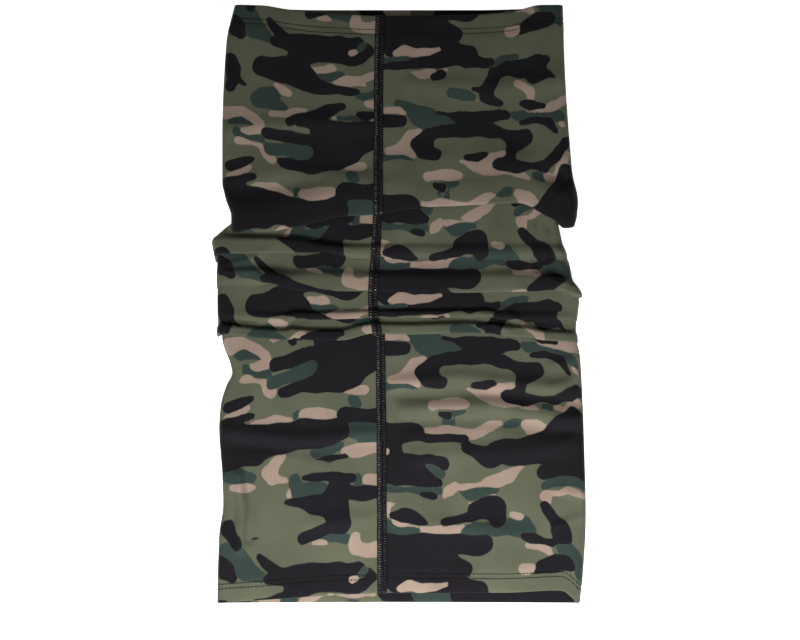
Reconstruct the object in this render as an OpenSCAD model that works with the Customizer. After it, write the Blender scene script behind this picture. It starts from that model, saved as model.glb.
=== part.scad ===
// Neck gaiter lying flat: one sheet of knitted jersey, sewn into a tube with a flat seam, hemmed at
// both ends and gathered in the middle by tucks. X runs across the tube, Y along it towards the
// upper hem, and Z up from the surface that it lies on. Every piece is a slab: a patch of the
// tube's surface with an inner and an outer face, each at its own distance from the middle of the
// cloth.

/* [Tube] */
// Length of the tube as it lies gathered, from corner to corner
lying_l = 408; // [390:1:430]
// Share of the real width, for a narrower or a wider tube
width_share = 1; // [0.9:0.01:1.1]
// Thickness of the jersey
cloth_t = 0.8; // [0.6:0.1:1]
// Height of the free space between the two plies
loft = 7.4; // [6.5:0.1:10]
// Distance from the upper ply's end at the seam to the corners of the tube
front_dip = 8; // [4:1:12]
// Distance from the lower ply's end at the middle to the corners of the tube
back_dip = 3; // [1:1:4]

/* [Tucks] */
// Radius of a tuck's two turns, at the middle of the cloth
turn_r = 1.6; // [1.4:0.1:2]
// Steepness of the slope that leads up to a tuck, in degrees
slope = 20; // [16:1:24]
// Where each tuck's fold lies along Y on the line x = 0
tuck_y = [59, 7, -22];
// Cloth hidden under each tuck
tuck_hidden = [11, 5, 9];
// How much each tuck's fold climbs along X
tuck_climb = [0.1, 0, 0];

/* [Hems] */
// Depth of the turned-in hem
hem_d = 14; // [10:1:18]
// Distance from the tube's end to the outer row of hem stitches
hem_row = 9.5; // [8:0.5:11]
// Distance between the two rows of hem stitches
row_gap = 3.4; // [2.5:0.1:4]

/* [Stitching] */
// Width of the flat seam over its three needle rows
seam_w = 6; // [5:0.5:7]
// Thickness of a sewing thread
thread_t = 0.35; // [0.3:0.05:0.4]

/* [Hidden] */

play = 0.03;         // air between pieces that are sewn together
slit = 0.3;          // gap between the sheet's two edges, under the seam
side_r = 4;          // how far the side turns reach in from the tube's edge
slope_r = 14;        // radius at the foot and the top of a slope
level_l = 6;         // how far the top of a slope runs level before the tuck's fold
flat_step = 26;      // longest step along a flat stretch
turn_step = 30;      // degrees in one step of a turn
end_fade = 45;       // length over which the dip and the lift of an end fade out
end_lift = 0.5;      // how far the ends lie off the surface, on the stitches under the hem
stitch_gap = 1;      // distance from the seam's stitches to the ends of the hem's threads

half_l = lying_l / 2;
front_l = half_l - front_dip;
tuck_h = 4 * turn_r;
slope_l = (tuck_h - 2 * slope_r * (1 - cos(slope))) / sin(slope);
slope_plan = 2 * slope_r * sin(slope) + slope_l * cos(slope);
skin = cloth_t / 2;

// Left and right edge of the tube and the seam between them, against the distance from the upper
// end along the cloth: [distance, x].
left_edge = [[0, -113], [50, -119], [125, -122], [146, -115], [185, -120], [205, -127], [235, -124],
    [275, -124], [300, -115], [330, -122], [480, -124]];
right_edge = [[0, 110], [60, 113], [125, 117], [150, 120], [185, 106], [220, 112], [250, 123],
    [300, 123], [400, 125.5], [440, 126.5], [480, 124]];
seam_line = [[0, -14], [130, -14], [200, -18], [260, -17], [300, -12], [480, -12]];

// ---- The path of the cloth along the tube ----

// A move is [length, turn in degrees]: a straight stretch has no turn. A place is
// [distance along the cloth, y, height above the ply's usual level, heading].
// Heading 0 runs towards the lower hem, and 90 straight up.
function arc(radius, turn) = [radius * abs(turn) * PI / 180, turn];
function step_of(place, length, turn) =
    let (mid = place[3] + turn / 2,
         chord = turn == 0 ? length : 2 * (length / (abs(turn) * PI / 180)) * sin(abs(turn) / 2))
    [place[0] + length, place[1] - chord * cos(mid), place[2] + chord * sin(mid), place[3] + turn];
function steps_in(move) = max(1, move[1] == 0 ? ceil(move[0] / flat_step)
                                              : ceil(abs(move[1]) / turn_step));
function walk(moves, place, i = 0) =
    i == len(moves) ? []
    : let (n = steps_in(moves[i]), part = moves[i] / n, made = repeat(part, place, n))
      concat(made, walk(moves, made[n - 1], i + 1));
function repeat(part, place, n) =
    n == 0 ? []
    : let (next = step_of(place, part[0], part[1]))
      concat([next], repeat(part, next, n - 1));

// From y = start the ply runs flat, climbs, runs level, turns under, runs back hidden and turns down
// again.
function tuck_moves(start, k) = [
    [start - tuck_y[k] - turn_r - level_l - slope_plan, 0],
    arc(slope_r, slope), [slope_l, 0], arc(slope_r, -slope), [level_l, 0],
    arc(turn_r, -180), [tuck_hidden[k], 0], arc(turn_r, 180)];
function after_tuck(k) = tuck_y[k] + turn_r + tuck_hidden[k];
moves = concat(tuck_moves(front_l, 0), tuck_moves(after_tuck(0), 1), tuck_moves(after_tuck(1), 2),
    [[after_tuck(2) + front_l, 0]]);
start_place = [0, front_l, 0, 0];
walked = walk(moves, start_place);
cloth_l = walked[len(walked) - 1][0];
path_y = [for (p = concat([start_place], walked)) [p[0], p[1]]];
path_o = [for (p = concat([start_place], walked)) [p[0], p[2]]];
climbs = [[0, 0], [60, 0], [145, tuck_climb[0]], [215, tuck_climb[1]], [270, tuck_climb[2]], [330, 0]];

// Distances along the cloth at which the pieces have a ring of points.
body_rings = concat(
    [0, hem_d], [for (p = walked) if (p[0] > hem_d + 1 && p[0] < cloth_l - hem_d - 1) p[0]],
    [cloth_l - hem_d, cloth_l]);
function inner_rings(margin) = concat(
    [margin], [for (s = body_rings) if (s > margin + 1 && s < cloth_l - margin - 1) s], [cloth_l - margin]);

// ---- Points on the middle of the cloth ----

function edge_x(table, s) = width_share * lookup(s, table);
function line_x(name, s) =
    name == "seam_right" ? edge_x(seam_line, s) + slit / 2
    : name == "seam_left" ? edge_x(seam_line, s) - slit / 2
    : name == "stitch_right" ? edge_x(seam_line, s) + seam_w / 2 + stitch_gap
    : name == "stitch_left" ? edge_x(seam_line, s) - seam_w / 2 - stitch_gap
    : name == "right" ? edge_x(right_edge, s) - side_r
    : edge_x(left_edge, s) + side_r;
function mix(a, b, t) = a + (b - a) * t;
function fade(t) = let (c = max(0, min(1, t))) c * c * (3 - 2 * c);

// Level is 0 on the lower ply and 1 on the upper ply.
function point(s, x, level) =
    let (from_middle = 1 - 2 * s / cloth_l,
         to_edge = x / edge_x(x > 0 ? right_edge : left_edge, s),
         upper = lookup(s, path_y) + lookup(s, climbs) * x,
         lower = from_middle * (half_l - back_dip),
         dip = mix(back_dip, front_dip, level) * pow(to_edge, 4),
         end = fade((abs(from_middle) * half_l - half_l + end_fade) / end_fade))
    [x, mix(lower, upper, level) + dip * end * sign(from_middle),
     skin + end_lift * end + level * (loft + cloth_t + lookup(s, path_o))];

// A column is [from, to, share, reach, level]: it lies a share of the way from one line to another,
// and reach times side_r further out.
function column(from, to, share, reach = 0, level = 1) = [from, to, share, reach, level];
function column_x(c, s) = mix(line_x(c[0], s), line_x(c[1], s), c[2]) + c[3] * side_r;

front_n = 6;    // steps across the upper ply on each side of the seam
back_n = 8;     // steps across the lower ply
side_step = 30; // degrees in one step of a side turn
// Once round the tube, from one side of the seam to its other side.
function ring_columns(start, finish) = concat(
    [for (i = [0:front_n]) column(start, "right", i / front_n)],
    [for (a = [90 - side_step:-side_step:-90]) column("right", "right", 0, cos(a), (1 + sin(a)) / 2)],
    [for (i = [1:back_n]) column("right", "left", i / back_n, 0, 0)],
    [for (a = [-90 + side_step:side_step:90]) column("left", "left", 0, -cos(a), (1 + sin(a)) / 2)],
    [for (i = [1:front_n]) column("left", finish, i / front_n)]);
cloth_columns = ring_columns("seam_right", "seam_left");
thread_columns = ring_columns("stitch_right", "stitch_left");

function ring_grid(distances, cols) = [for (s = distances) [for (c = cols) point(s, column_x(c, s), c[4])]];
function seam_grid(distances, from, to) =
    [for (s = distances) [for (dx = [from, (from + to) / 2, to]) point(s, edge_x(seam_line, s) + dx, 1)]];

// ---- Slabs ----

function normal(grid, i, j) =
    let (down = grid[min(i + 1, len(grid) - 1)][j] - grid[max(i - 1, 0)][j],
         over = grid[i][min(j + 1, len(grid[0]) - 1)] - grid[i][max(j - 1, 0)],
         n = cross(down, over))
    n / norm(n);
function face_points(grid, off) =
    [for (i = [0:len(grid) - 1]) for (j = [0:len(grid[0]) - 1]) grid[i][j] + off * normal(grid, i, j)];
function two(a, b, c, d) = [[a, b, c], [a, c, d]];
function strip(n, a0, b0, step) = [for (k = [0:n - 2]) each two(a0 + k * step, a0 + (k + 1) * step,
    b0 + (k + 1) * step, b0 + k * step)];

// A closed solid between two distances from a grid of points, inner below outer.
module slab(grid, inner, outer) {
    rows = len(grid);
    cols = len(grid[0]);
    all = rows * cols;
    top = [for (i = [0:rows - 2]) each strip(cols, i * cols, (i + 1) * cols, 1)];
    under = [for (t = top) [t[2] + all, t[1] + all, t[0] + all]];
    rims = concat(
        strip(cols, all, 0, 1),
        [for (t = strip(cols, (rows - 1) * cols + all, (rows - 1) * cols, 1)) [t[2], t[1], t[0]]],
        [for (t = strip(rows, all, 0, cols)) [t[2], t[1], t[0]]],
        strip(rows, all + cols - 1, cols - 1, cols));
    polyhedron(points = concat(face_points(grid, outer), face_points(grid, inner)),
        faces = concat(top, under, rims), convexity = 10);
}

// ---- The pieces ----

module tube_panel() {
    color([0.33, 0.35, 0.26]) slab(ring_grid(body_rings, cloth_columns), -skin, skin);
}

// The hem's turned-in band lies against the inside of the tube. from and to are distances along it.
module hem_band(from, to) {
    color([0.36, 0.38, 0.29])
        slab(ring_grid([from, to], cloth_columns), -skin - play - cloth_t, -skin - play);
}

// A row of face stitches is a strand laid round the tube.
module hem_needle_thread(at) {
    color([0.06, 0.06, 0.07])
        slab(ring_grid([at - thread_t / 2, at + thread_t / 2], thread_columns),
            skin + play, skin + play + thread_t);
}

// The looper thread zigzags between the two needle rows inside the hem: a band of its own width.
module hem_looper_thread(from, to) {
    below = -skin - 2 * play - cloth_t;
    color([0.06, 0.06, 0.07]) slab(ring_grid([from, to], thread_columns), below - thread_t, below);
}

// The cover thread zigzags over the seam: a band of its own width.
module seam_cover_thread() {
    color([0.08, 0.08, 0.09])
        slab(seam_grid(inner_rings(1), -seam_w / 2, seam_w / 2), skin + play, skin + play + thread_t);
}

module seam_looper_thread() {
    color([0.08, 0.08, 0.09])
        slab(seam_grid(inner_rings(hem_d + 2), -seam_w / 2, seam_w / 2),
            -skin - play - thread_t, -skin - play);
}

// A straight strand along the seam, over the cover thread. dx is its distance from the seam's middle.
module seam_needle_thread(dx) {
    above = skin + 2 * play + thread_t;
    color([0.05, 0.05, 0.06])
        slab(seam_grid(inner_rings(1), dx - thread_t / 2, dx + thread_t / 2), above, above + thread_t);
}

needle_dx = (seam_w - thread_t) / 2;
inner_row = hem_row + row_gap;

tube_panel();
hem_band(0, hem_d);  // top_hem
hem_band(cloth_l - hem_d, cloth_l);  // bottom_hem
seam_cover_thread();
seam_looper_thread();
seam_needle_thread(-needle_dx);  // seam_needle_thread_left
seam_needle_thread(0);  // seam_needle_thread_centre
seam_needle_thread(needle_dx);  // seam_needle_thread_right
hem_needle_thread(hem_row);  // top_hem_needle_thread_outer
hem_needle_thread(inner_row);  // top_hem_needle_thread_inner
hem_looper_thread(hem_row, inner_row);  // top_hem_looper_thread
hem_needle_thread(cloth_l - hem_row);  // bottom_hem_needle_thread_outer
hem_needle_thread(cloth_l - inner_row);  // bottom_hem_needle_thread_inner
hem_looper_thread(cloth_l - inner_row, cloth_l - hem_row);  // bottom_hem_looper_thread
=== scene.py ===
"""Looks of a neck gaiter that lies flat: one printed jersey sheet, sewn into a tube, and its threads.

Lengths are in millimetres until a mesh is made, and MM turns them into metres. X runs across the
tube, Y along it towards the upper hem, and Z up. On the cloth itself, u is the distance round the
tube from the seam and v the distance along it from the upper hem's fold.
"""
from math import pi, radians

import bpy
import numpy as np
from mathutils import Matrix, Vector


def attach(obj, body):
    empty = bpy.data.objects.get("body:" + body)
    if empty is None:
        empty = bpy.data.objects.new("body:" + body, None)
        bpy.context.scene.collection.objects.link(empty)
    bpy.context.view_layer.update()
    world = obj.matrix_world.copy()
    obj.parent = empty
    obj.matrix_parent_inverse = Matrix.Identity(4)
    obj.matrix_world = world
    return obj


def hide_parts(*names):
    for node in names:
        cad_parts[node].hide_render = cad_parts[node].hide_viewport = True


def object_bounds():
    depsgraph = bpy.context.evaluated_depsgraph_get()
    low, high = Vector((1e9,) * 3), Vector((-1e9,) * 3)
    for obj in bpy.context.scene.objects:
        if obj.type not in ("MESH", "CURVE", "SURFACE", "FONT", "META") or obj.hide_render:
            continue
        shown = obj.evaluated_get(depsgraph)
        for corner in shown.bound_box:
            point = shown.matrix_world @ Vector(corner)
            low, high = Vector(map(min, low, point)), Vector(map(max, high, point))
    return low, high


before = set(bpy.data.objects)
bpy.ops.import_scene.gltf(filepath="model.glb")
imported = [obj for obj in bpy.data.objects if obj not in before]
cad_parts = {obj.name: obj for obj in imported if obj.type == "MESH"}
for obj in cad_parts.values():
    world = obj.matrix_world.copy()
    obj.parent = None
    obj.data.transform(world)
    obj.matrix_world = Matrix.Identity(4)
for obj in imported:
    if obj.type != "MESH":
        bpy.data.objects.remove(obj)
cad_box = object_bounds()

MM = 0.001
CAD_LOW, CAD_HIGH = (np.array(corner) / MM for corner in cad_box)

# ---- Sizes of the cloth ----
CLOTH_T = 0.8              # thickness of the jersey
CLOTH_L = 473.0            # length from fold to fold, all tucks drawn out
HEM = 14.0                 # depth of a turned-in hem
HEM_GAP = 1.0              # from the middle of the cloth to the middle of the turned-in layer
SIDE_R = 3.5               # radius of the tube's side folds, at the middle of the cloth
END_LIFT = 0.65            # how far the ends lie off the floor, on their own stitches
END_FADE = 45.0            # length over which that lift fades out
SAG = 2.0                  # how far the upper ply sinks between the sides
SIDE_BULGE = 0.65          # share of a tuck's height that the tube's side shows
SEAM_RISE = 0.45           # how far the seam's doubled cloth stands proud
SEAM_SLIT = 0.15           # from the seam's line to the sheet's edge
END_INSET = 0.7            # from the CAD part's ends to the cloth's folds at the corners
TOP_Y = CAD_HIGH[1] - END_INSET
BOTTOM_Y = CAD_LOW[1] + END_INSET
CORNER_DIP = 0.5           # how far the side folds' own ends fall short of the corners

# Where the tube's edges and its seam lie: (v, x).
LEFT_EDGE = [
    (0, -112.5), (28, -118.3), (93, -121), (126, -121), (136, -118.5), (150, -113.2), (171, -113.2),
    (179, -120), (188, -127), (197, -125.5), (206, -124.4), (238, -124.4), (274, -123.5), (291, -120),
    (303, -115.5), (310, -114.2), (320, -118.5), (333, -122), (349, -123.1), (382, -121),
    (404, -120.4), (425, -123.1), (473, -124.4)]
RIGHT_EDGE = [
    (0, 110.8), (45, 112.2), (116, 117), (140, 119.5), (152, 118.5), (158, 116.5), (169, 104.5),
    (176, 103.4), (185, 107), (203, 110.8), (216, 115), (231, 118), (244, 123.1), (258, 121), (271, 119.7),
    (285, 120.5), (298, 122.5), (318, 123.8), (368, 125.6), (412, 126.5), (444, 125.1), (473, 122.4)]
SEAM_LINE = [(0, -13.6), (60, -14.6), (140, -14.8), (188, -16), (233, -18.6), (263, -18),
             (293, -13.4), (473, -12)]
SEAM_X, LEFT_X, RIGHT_X = -14.0, -122.0, 122.0    # the same three lines, drawn straight

# How far each ply's end falls short of the tube's corners: (x, distance).
FRONT_TOP = [(-125, 0.5), (-106, 0.8), (-85, 3.5), (-60, 5.8), (-14, 7.8), (60, 7), (85, 5.5),
             (110, 0.5), (125, 0.5)]
BACK_TOP = [(-125, 0.5), (-100, 2.5), (-60, 3.5), (60, 3.5), (100, 2.5), (125, 0.5)]
FRONT_BOTTOM = [(-125, 0.5), (-80, 3.5), (-40, 6.2), (0, 7.2), (70, 7.4), (112, 9), (125, 0.5)]
BACK_BOTTOM = [(-125, 0), (0, 0.5), (125, 0)]

# Tucks from the top down. Each runs across the whole tube. lip is the y of its fold, over the cloth
# doubled under it, and full how far it is turned under, from 0, a bump, to 1, flat: all against x.
# r is the radius of its turns, before and after the lengths of its slopes, and rows the steps along
# the flat stretch above it and the two slopes.
TUCKS = [
    dict(lip=[(-125, 48), (-111, 48), (-60, 55), (-41, 59), (-17, 60), (8, 64), (59, 67), (86, 68),
              (104, 60), (122, 52)],
         over=[(-125, 6.2), (-60, 8.2), (10, 10.2), (122, 12.2)], full=[(-125, 1), (122, 1)],
         r=1.3, before=27, after=7, rows=(60, 15, 3)),
    dict(lip=[(-125, 33), (-56, 33), (0, 34), (122, 34)],
         over=[(-125, 6.6), (-70, 4.6), (-45, 0.5), (122, 0.3)],
         full=[(-125, 1), (-60, 0.95), (-30, 0.35), (0, 0.2), (122, 0.2)],
         r=0.9, before=8, after=4.5, rows=(11, 6, 3)),
    dict(lip=[(-125, 17), (-102, 16.5), (-68, 8.5), (-20, 8), (40, 7), (102, 8), (122, 5)],
         over=[(-125, 0.6), (-90, 1), (-60, 4.8), (90, 4.8), (122, 1.8)],
         full=[(-125, 0.12), (-100, 0.25), (-84, 0.7), (-68, 1), (95, 1), (122, 0.5)],
         r=0.95, before=13, after=5, rows=(11, 12, 3)),
    dict(lip=[(-125, -7), (-61, -11.5), (0, -10), (61, -10), (122, -10)],
         over=[(-125, 0), (-60, 1), (50, 1), (80, 0), (122, 0)],
         full=[(-125, 0.08), (-80, 0.2), (-58, 1), (50, 1), (75, 0.4), (122, 0.1)],
         r=0.65, before=5.5, after=3.5, rows=(7, 4, 2)),
    dict(lip=[(-125, -20), (-102, -19), (-60, -26), (-41, -26), (-17, -21.5), (8, -22), (48, -21),
              (85, -22.5), (102, -26), (122, -27)],
         over=[(-125, 1.8), (-60, 2.3), (60, 2.3), (122, 1.8)], full=[(-125, 1), (122, 1)],
         r=0.85, before=6.5, after=9, rows=(4, 6, 8)),
]
LOWER_TURN_R = 0.5         # least radius of a tuck's turns in the lower ply
LOWER_TURN_SHARE = 0.15    # share of what the tuck's own radius has more than that, there
TURN_ROWS = 6              # steps in one turn of a tuck or a hem
LEVEL_ROWS = 3             # steps along the level stretch over or under a tuck's hidden part
AFTER_CUT = 0.7            # share of the slope after a tuck that the upper ply doesn't need
OVER_ROWS = 4              # steps along the cloth doubled under a tuck
LAST_ROWS = 91             # steps from the lowest tuck to the lower hem
HEM_ROWS = 6               # steps along a turned-in hem


def curve(x, points):
    """A smooth curve through given points, which never overshoots them."""
    px, py = np.array(points, float).T
    x = np.clip(x, px[0], px[-1])
    step = np.diff(px)
    slope = np.diff(py) / step
    both = slope[1:] + slope[:-1]
    product = slope[1:] * slope[:-1]
    inner = np.where(product > 0, 2 * product / np.where(both == 0, 1, both), 0)
    lean = np.concatenate([[slope[0]], inner, [slope[-1]]])
    i = np.clip(np.searchsorted(px, x, side="right") - 1, 0, len(px) - 2)
    h = step[i]
    t = (x - px[i]) / h
    start = (1 + 2 * t) * (1 - t) ** 2 * py[i] + t * (1 - t) ** 2 * h * lean[i]
    end = t * t * (3 - 2 * t) * py[i + 1] + t * t * (t - 1) * h * lean[i + 1]
    return start + end


def fade(x):
    """0 below 0, 1 above 1, and smooth between."""
    t = np.clip(x, 0, 1)
    return t * t * (3 - 2 * t)


# ---- The ring of columns, from the seam's right side once round the tube ----

SEAM_STEPS = [0, 1.2, 2.4, 3.1, 4.0, 5.6]   # the first columns, counted from the seam
COARSE, FINE = 2.5, 1.7                     # column spacing inside a ply and near its side
FINE_REACH = 26                             # how far in from the side the fine spacing goes
SIDE_STEPS, BACK_STEPS = 8, 44


def spaced(start, end, spacing):
    """Even steps from start to end, without start itself."""
    return np.linspace(start, end, round((end - start) / spacing) + 1)[1:]


def front_distances(width):
    """Distances from the seam of the columns on one side of it, out to the tube's edge."""
    middle = width - FINE_REACH
    coarse, fine = spaced(SEAM_STEPS[-1], middle, COARSE), spaced(middle, width, FINE)
    return np.concatenate([SEAM_STEPS, coarse, fine])


def ring():
    """For each column: the part it is in, its share across that part, its angle and its usual x."""
    right_w, left_w = RIGHT_X - SEAM_X, SEAM_X - LEFT_X
    right, left = front_distances(right_w), front_distances(left_w)
    turn = np.linspace(pi / 2, -pi / 2, SIDE_STEPS + 1)
    rows = [("front_right", d / right_w, pi / 2, SEAM_X + d) for d in right]
    rows += [("side_right", 1, a, RIGHT_X) for a in turn[1:]]
    rows += [("back", s, -pi / 2, RIGHT_X + s * (LEFT_X - RIGHT_X))
             for s in np.linspace(0, 1, BACK_STEPS + 1)[1:]]
    rows += [("side_left", 1, a, LEFT_X) for a in -turn[1:]]
    rows += [("front_left", 1 - d / left_w, pi / 2, SEAM_X - d) for d in left[-2::-1]]
    return rows


RING = ring()
PART = np.array([row[0] for row in RING])
SHARE, ANGLE, USUAL_X = np.array([row[1:] for row in RING], float).T
UPPER = (1 + np.sin(ANGLE)) / 2            # 1 on the upper ply, 0 on the lower one
COLUMNS = len(RING)


def ring_distance():
    """u of every column."""
    across = np.abs(np.diff(USUAL_X))
    round_side = np.abs(np.diff(ANGLE)) * SIDE_R
    return np.concatenate([[0], np.cumsum(across + round_side)])


U = ring_distance()
ROUND = U[-1]


class Path:
    """The way every column takes along the tube: distance, y, distance out from the ply's usual
    level, and heading, which is 0 towards the lower hem and pi / 2 outwards."""

    LEANS = np.linspace(-1.6, 1.6, 321)    # slopes to choose from, in radians
    SHORTEST = 1e-6

    def __init__(self, distance, y, out, heading):
        start = (distance, y, out, heading)
        self.distance, self.y, self.out, self.heading = (np.zeros(COLUMNS) + value for value in start)
        self.rows = [self.state()]

    def state(self):
        return np.array([self.distance, self.y, self.out])

    def go(self, length, steps, turn=0.0, rise=0.0):
        """Adds a stretch of this length. turn is its whole turn, and rise how far it swells outwards."""
        length = np.maximum(np.zeros(COLUMNS) + length, self.SHORTEST)
        swell = (1 - np.cos(2 * pi * (np.arange(steps) + 0.5) / steps)) / 2
        gains = np.sin(self.LEANS[:, None] * swell).mean(1)
        lean = np.interp(rise / length, gains, self.LEANS)
        for k in range(steps):
            middle = self.heading + turn * (0.5 / steps) + lean * swell[k]
            self.y = self.y - length / steps * np.cos(middle)
            self.out = self.out + length / steps * np.sin(middle)
            self.distance = self.distance + length / steps
            self.heading = self.heading + turn / steps
            self.rows.append(self.state())


def add_tuck(path, tuck):
    """Runs every column flat, up the slope, under and back, and down the slope after it. The upper
    ply climbs before the tuck, and the lower ply, whose tuck stands up inside the tube, after it."""
    lip, over, full = (curve(USUAL_X, tuck[key]) for key in ("lip", "over", "full"))
    share = LOWER_TURN_SHARE + (1 - LOWER_TURN_SHARE) * UPPER
    r = LOWER_TURN_R + (tuck["r"] - LOWER_TURN_R) * share
    turn = full * pi
    drop = 2 * r * (1 - np.cos(turn)) / full + over * np.sin(turn)
    level = (over + r) * full
    level_before, level_after = level * np.minimum(2 * UPPER, 1), level * np.minimum(2 - 2 * UPPER, 1)
    flat_rows, before_rows, after_rows = tuck["rows"]
    path.go(path.y - (lip + r + level_before + tuck["before"]), flat_rows, rise=-path.out)
    path.go(tuck["before"], before_rows, rise=UPPER * drop)
    path.go(level_before, LEVEL_ROWS)
    path.go(pi * r, TURN_ROWS, turn=-turn)
    path.go(over, OVER_ROWS)
    path.go(pi * r, TURN_ROWS, turn=turn)
    path.go(level_after, LEVEL_ROWS)
    path.go(tuck["after"] * (1 - AFTER_CUT * UPPER), after_rows, rise=(1 - UPPER) * drop)


def tube_path():
    """The columns' distances v, their y and their distance out, as grids of rows by columns."""
    upper = UPPER > 0.5
    side = (PART == "side_right") | (PART == "side_left")
    top_dip = np.where(upper, curve(USUAL_X, FRONT_TOP), curve(USUAL_X, BACK_TOP))
    bottom_dip = np.where(upper, curve(USUAL_X, FRONT_BOTTOM), curve(USUAL_X, BACK_BOTTOM))
    top = TOP_Y - np.where(side, CORNER_DIP, top_dip)
    bottom = BOTTOM_Y + np.where(side, UPPER * CORNER_DIP, bottom_dip)
    fold = pi * HEM_GAP / 2
    path = Path(-HEM - fold / 2, top - HEM_GAP / 2 - HEM, -HEM_GAP, pi)
    path.go(HEM, HEM_ROWS)
    path.go(fold, TURN_ROWS, turn=-pi)
    for tuck in TUCKS:
        add_tuck(path, tuck)
    path.go(path.y - (bottom + HEM_GAP / 2), LAST_ROWS, rise=-path.out)
    path.go(fold, TURN_ROWS, turn=-pi)
    path.go(HEM, HEM_ROWS)
    distance, y, out = np.array(path.rows).transpose(1, 0, 2)
    lower_fold = distance[-1] - HEM - fold / 2
    return distance * CLOTH_L / lower_fold, y, out


def chain(x, y, points):
    """Signed distance to a chain of discs joined by straight sides: points are (x, y, radius)."""
    if len(points) == 1:
        return np.hypot(x - points[0][0], y - points[0][1]) - points[0][2]
    best = np.full(x.shape, np.inf)
    for a, b in zip(points, points[1:]):
        dx, dy = b[0] - a[0], b[1] - a[1]
        t = np.clip(((x - a[0]) * dx + (y - a[1]) * dy) / (dx * dx + dy * dy), 0, 1)
        best = np.minimum(best, np.hypot(x - a[0] - t * dx, y - a[1] - t * dy) - a[2] - t * (b[2] - a[2]))
    return best


def read_shapes(text):
    """The shapes that a text lists: each is a word, and then groups of numbers."""
    shapes = []
    for word in text.split():
        if word.isalpha():
            shapes.append([word])
        else:
            shapes[-1].append([float(number) for number in word.split(",")])
    return shapes


# ---- Soft folds of the upper ply ----
# Each is its kind, then height,width, then the points x,y along it. Edge ones are creases that run in
# from the right edge, and tuck ones lie near the tucks.
FOLDS = read_shapes("""
broad 1.5,7 -122,118 -60,124 -20,122
broad 1.2,8 -8,96 50,102 112,96
broad 1.0,6 -118,84 -70,90 -25,86
broad 1.3,7 10,150 60,146 112,152
broad -1.0,6 20,84 70,90 114,84
broad 1.6,5 -4,-54 40,-50 118,-58
broad -1.2,4 0,-62 50,-60 122,-66
broad 1.7,5 4,-72 60,-70 120,-78
broad -1.2,4 4,-82 60,-80 120,-88
broad 1.5,5 -118,-86 -70,-92 -20,-88
broad -0.9,4 -112,-96 -60,-100
broad 1.0,6 10,-104 70,-100 120,-96
broad 2.2,3.2 -110,-116 -107,-140 -109,-166
broad -1.3,3 -104,-120 -101,-142 -103,-160
broad 1.0,6 -60,-150 -20,-146
broad 0.9,6 20,-150 90,-156
edge 0.8,2.4 117,104 106,92
edge 0.8,2.4 119,92 104,82
edge 0.7,2.4 119,80 108,74
edge 0.9,2.6 122,-36 104,-42
edge 0.9,2.6 124,-48 102,-57
edge 0.8,2.6 124,-62 110,-61
edge 0.9,2.6 125,-76 106,-80
edge 0.8,2.6 126,-85 110,-93
edge 1.0,2.8 126,-131 108,-127
edge 0.9,2.6 126,-143 106,-151
tuck 0.9,2.4 -122,26 -102,30 -92,36
tuck 0.8,2.0 -120,22 -100,22
tuck 0.9,2.2 58,-8 72,-18
tuck 0.8,2.0 70,-4 88,-18
tuck 1.3,2.8 90,52 88,26
tuck 1.2,2.6 99,48 99,22
tuck 0.9,3.0 66,52 62,34
tuck 1.1,2.4 108,36 113,8
""")
FOLD_GAIN = 1.6            # how much taller the folds are than listed
DEEPEST = -1.3             # how far a fold may press the upper ply down


def hump(x, middle, width):
    """1 at the middle, and fading out on both sides of it."""
    return np.exp(-((x - middle) / width) ** 2)


def puckers(off, along, height, reach, length, slow):
    """Short waves along a row of stitches, fading away from it. Their length changes slowly."""
    return height * hump(off, 0, reach) * np.sin(along * 2 * pi / length + np.sin(along / slow))


def ripples(x, y):
    """Small uneven waves in the cloth, less than half a millimetre high."""
    a = np.sin(x / 13.0 + 1.3 * np.sin(y / 21.0)) * np.sin(y / 9.0 + 0.8 * np.sin(x / 17.0 + 2.0))
    b = np.sin(x / 6.1 + y / 9.7 + 1.9 * np.sin(y / 15.0)) * np.sin(y / 5.3 - x / 31.0)
    return 0.30 * a + 0.14 * b


def fold_height(x, y):
    """Height that the waves and the soft folds add to the upper ply at (x, y)."""
    height = ripples(x, y)
    for _, (tall, width), *points in FOLDS:
        off = chain(x, y, [(px, py, 0) for px, py in points])
        height = height + FOLD_GAIN * tall * hump(off, 0, width)
    return np.maximum(height, DEEPEST)


def normals(grid):
    """Outward unit normals of a grid of points."""
    outward = np.cross(np.gradient(grid, axis=0), np.gradient(grid, axis=1))
    return outward / np.linalg.norm(outward, axis=-1, keepdims=True)


SEAM_HALF, SEAM_SLOPE = 2.4, 1.4   # half the width of the doubled cloth, and the slope beside it
GROOVE, GROOVE_OFF, GROOVE_WIDTH = 0.25, 5.0, 1.6
HEM_ROWS_V = (9.7, 13.1)   # from the fold to the outer and the inner row of hem stitches
HEM_DENT, HEM_DENT_WIDTH = 0.22, 1.1   # how far a row of stitches presses the cloth in
HEM_PUFF, HEM_PUFF_V, HEM_PUFF_WIDTH = 0.12, 17, 2.5   # the swelling past the turned-in cloth
SEAM_PUCKERS, HEM_PUCKERS = (0.16, 7, 7.3, 19.0), (0.12, 4.0, 5.2, 23.0)   # as puckers takes them


def seam_height(v):
    """How far the cloth stands proud at the seam: doubled under it, and drawn in next to it."""
    off = np.minimum(U, ROUND - U)
    band = SEAM_RISE * (1 - fade((off - SEAM_HALF) / SEAM_SLOPE))
    groove = -GROOVE * hump(off, GROOVE_OFF, GROOVE_WIDTH)
    return band + groove + puckers(off, v, *SEAM_PUCKERS)


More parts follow.
